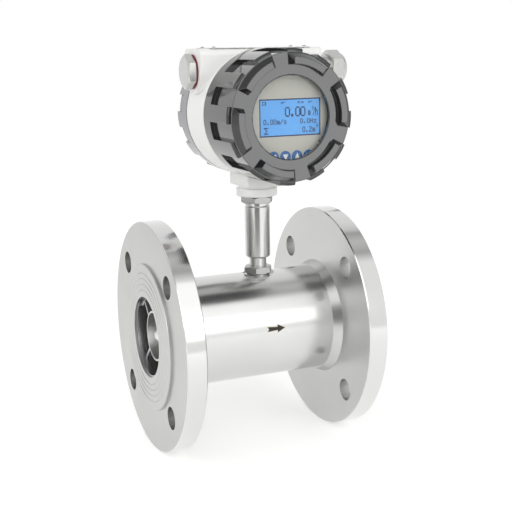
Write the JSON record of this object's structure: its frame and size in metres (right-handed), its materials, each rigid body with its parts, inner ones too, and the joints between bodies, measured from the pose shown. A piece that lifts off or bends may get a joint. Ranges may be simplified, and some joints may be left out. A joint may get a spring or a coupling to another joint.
{
  "type": "turbine flowmeter",
  "caption": "Flanged pipe meter with an axial turbine rotor, a magnetic pickup on a stem and a round two-chamber display head with screwed covers and cable entries.",
  "frame": {"origin": "centre of the inlet flange's bolt circle on the plate's face, on the pipe's axis, 2 mm behind the raised face", "axes": "+X runs with the flow, +Z from the pipe up to the display head, the display faces -Y"},
  "size_m": [0.177, 0.185, 0.319],
  "materials": {
    "polished_steel": "fine turned and polished stainless steel",
    "flange_steel": "turned stainless steel",
    "spring_steel": "bright spring steel",
    "guide_steel": "satin stainless sheet",
    "bearing_carbide": "ground hard metal",
    "rotor_steel": "machined magnetic stainless steel",
    "nut_steel": "bright stainless steel",
    "soft_iron": "plain iron",
    "bobbin_plastic": "black plastic",
    "coil_copper": "enamelled copper wire",
    "magnet": "nickel plated magnet",
    "circuit_board": "green solder mask",
    "white_paint": "satin white powder coat",
    "grey_paint": "glossy dark grey paint",
    "pale_grey_paint": "glossy mid grey paint",
    "black_rubber": "smooth rubber",
    "clear_glass": "clear flat glass",
    "panel_plastic": "matt warm grey foil",
    "display": "blue liquid crystal pane",
    "nickel_brass": "nickel plated brass",
    "key_rubber": "blue silicone rubber",
    "terminal_plastic": "green moulded plastic",
    "nickel_plate": "nickel plated brass",
    "red_fibre": "dark red sealing ring",
    "plate_steel": "plain etched steel sheet",
    "rivet_aluminium": "plain aluminium"
  },
  "bodies": {
    "pipe_run": {"body_tube": "polished_steel", "inlet_flange": "flange_steel", "outlet_flange": "flange_steel", "inlet_snap_ring": "spring_steel", "outlet_snap_ring": "spring_steel", "inlet_guide_hub": "guide_steel", "inlet_vane_ring": "guide_steel", "inlet_vanes": "guide_steel", "outlet_guide_hub": "guide_steel", "outlet_vane_ring": "guide_steel", "outlet_vanes": "guide_steel", "inlet_bearing": "bearing_carbide", "outlet_bearing": "bearing_carbide", "inlet_thrust_pad": "bearing_carbide", "outlet_thrust_pad": "bearing_carbide", "pickup_body": "polished_steel", "pickup_lock_nut": "nut_steel", "head_lock_nut": "nut_steel", "pole_piece": "soft_iron", "coil_bobbin": "bobbin_plastic", "pickup_coil": "coil_copper", "pickup_magnet": "magnet", "preamp_board": "circuit_board"},
    "rotor": {"rotor": "rotor_steel", "rotor_shaft": "bearing_carbide"},
    "front_seal": {"front_oring": "black_rubber"},
    "front_cover": {"front_cover": "grey_paint", "window_seal": "black_rubber", "window_glass": "clear_glass", "window_ring": "spring_steel"},
    "rear_seal": {"rear_oring": "black_rubber"},
    "rear_cover": {"rear_cover": "pale_grey_paint"},
    "key_left": {"key_left": "key_rubber"},
    "key_down": {"key_down": "key_rubber"},
    "key_up": {"key_up": "key_rubber"},
    "key_right": {"key_right": "key_rubber"},
    "plug_washer": {"plug_seal": "red_fibre"},
    "blanking_plug": {"blanking_plug": "nickel_plate"},
    "slip_ring": {"gland_slip_ring": "bobbin_plastic"},
    "gland_nut": {"gland_nut": "nickel_plate"},
    "head": {"head_housing": "white_paint", "face_panel": "panel_plastic", "lcd_module": "display", "display_board": "circuit_board", "main_board": "circuit_board", "main_standoffs": "nickel_brass", "display_standoffs": "nickel_brass", "panel_spacers": "nickel_brass", "panel_screws": "spring_steel", "key_switches": "bobbin_plastic", "terminal_block": "terminal_plastic", "terminal_screws": "nickel_brass", "wire_feedthrough": "black_rubber", "earth_screw": "nickel_brass", "gland_gasket": "black_rubber", "gland_body": "nickel_plate", "gland_insert": "black_rubber", "name_plate": "plate_steel", "plate_rivets": "rivet_aluminium"}
  },
  "joints": [
    {"name": "rotor_spin", "type": "hinge", "parent": "pipe_run", "child": "rotor", "pos_m": [0.096, 0, 0], "axis": [1, 0, 0], "continuous": true},
    {"name": "head_swivel", "type": "hinge", "parent": "pipe_run", "child": "head", "pos_m": [0.096, 0, 0.11], "axis": [0, 0, 1], "range_deg": [-175, 175]},
    {"name": "front_cover_travel", "type": "slide", "parent": "head", "child": "front_seal", "axis": [0, -1, 0], "range_m": [0, 0.0166]},
    {"name": "front_cover_turn", "type": "hinge", "parent": "front_seal", "child": "front_cover", "pos_m": [0.096, 0, 0.174], "axis": [0, -1, 0], "range_deg": [0, 2970]},
    {"name": "rear_cover_travel", "type": "slide", "parent": "head", "child": "rear_seal", "axis": [0, 1, 0], "range_m": [0, 0.0136]},
    {"name": "rear_cover_turn", "type": "hinge", "parent": "rear_seal", "child": "rear_cover", "pos_m": [0.096, 0, 0.174], "axis": [0, 1, 0], "range_deg": [0, 2430]},
    {"name": "plug_travel", "type": "slide", "parent": "head", "child": "plug_washer", "axis": [-1, 0, 0], "range_m": [0, 0.0111]},
    {"name": "plug_turn", "type": "hinge", "parent": "plug_washer", "child": "blanking_plug", "pos_m": [0.096, 0.00175, 0.2075], "axis": [-1, 0, 0], "range_deg": [0, 2670]},
    {"name": "gland_nut_travel", "type": "slide", "parent": "head", "child": "slip_ring", "axis": [1, 0, 0], "range_m": [0, 0.0062]},
    {"name": "gland_nut_turn", "type": "hinge", "parent": "slip_ring", "child": "gland_nut", "pos_m": [0.096, 0.00175, 0.2075], "axis": [1, 0, 0], "range_deg": [0, 1500]},
    {"name": "key_left_press", "type": "slide", "parent": "head", "child": "key_left", "axis": [0, 1, 0], "range_m": [0, 0.0005], "stiffness_N_per_m": 2000},
    {"name": "key_down_press", "type": "slide", "parent": "head", "child": "key_down", "axis": [0, 1, 0], "range_m": [0, 0.0005], "stiffness_N_per_m": 2000},
    {"name": "key_up_press", "type": "slide", "parent": "head", "child": "key_up", "axis": [0, 1, 0], "range_m": [0, 0.0005], "stiffness_N_per_m": 2000},
    {"name": "key_right_press", "type": "slide", "parent": "head", "child": "key_right", "axis": [0, 1, 0], "range_m": [0, 0.0005], "stiffness_N_per_m": 2000}
  ],
  "couplings": [
    {"joint": "front_cover_travel", "follows": "front_cover_turn", "m_per_rad": 0.00031831},
    {"joint": "rear_cover_travel", "follows": "rear_cover_turn", "m_per_rad": 0.00031831},
    {"joint": "plug_turn", "follows": "plug_travel", "rad_per_m": 4188.8},
    {"joint": "gland_nut_turn", "follows": "gland_nut_travel", "rad_per_m": 4188.8}
  ]
}
